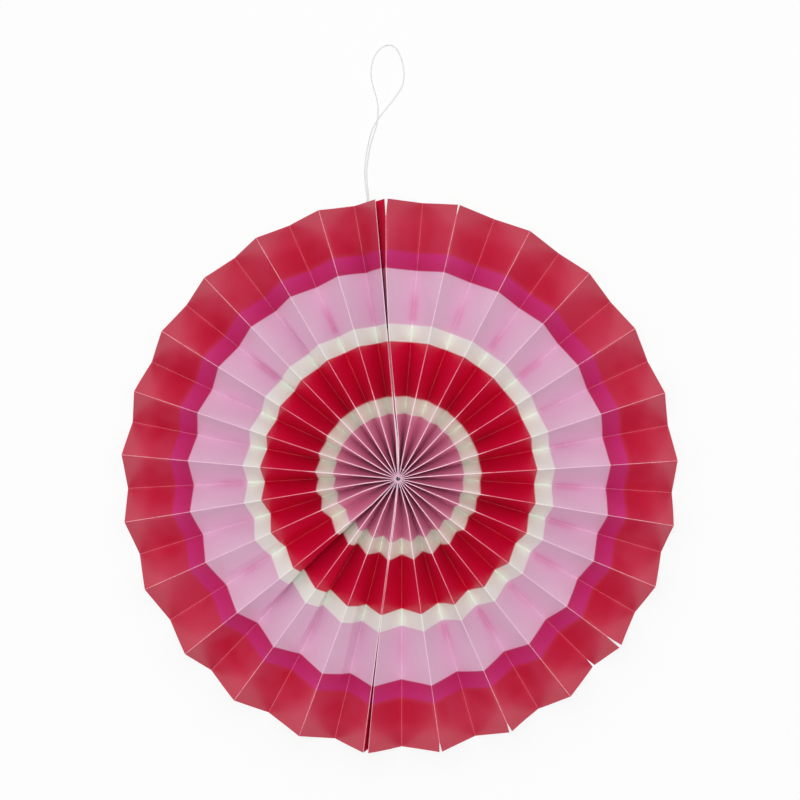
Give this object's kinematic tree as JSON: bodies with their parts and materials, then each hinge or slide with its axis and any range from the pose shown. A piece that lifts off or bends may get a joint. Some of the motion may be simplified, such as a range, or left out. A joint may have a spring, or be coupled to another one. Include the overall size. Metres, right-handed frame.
{
  "type": "paper fan rosette",
  "caption": "Round wall decoration of accordion-folded printed paper in concentric colour rings, gathered at its centre, with a thread loop to hang it by.",
  "frame": {"origin": "on the hub's axis, on the surface that the fan lies on", "axes": "+Z out of the printed face along the hub's axis, +Y from the hub towards the hanging loop"},
  "size_m": [0.2995, 0.3862, 0.0262],
  "materials": {
    "printed_paper": "coated paper printed on one side in rings of red, pink, cream and mauve",
    "paper_tape": "matte double-sided paper tape",
    "white_thread": "matte cotton thread"
  },
  "bodies": {
    "root": {"right_half": "printed_paper", "left_half": "printed_paper", "top_seam_tape": "paper_tape", "bottom_seam_tape": "paper_tape", "gathering_thread": "white_thread", "hanging_thread": "white_thread", "thread_knot": "white_thread"}
  },
  "joints": []
}
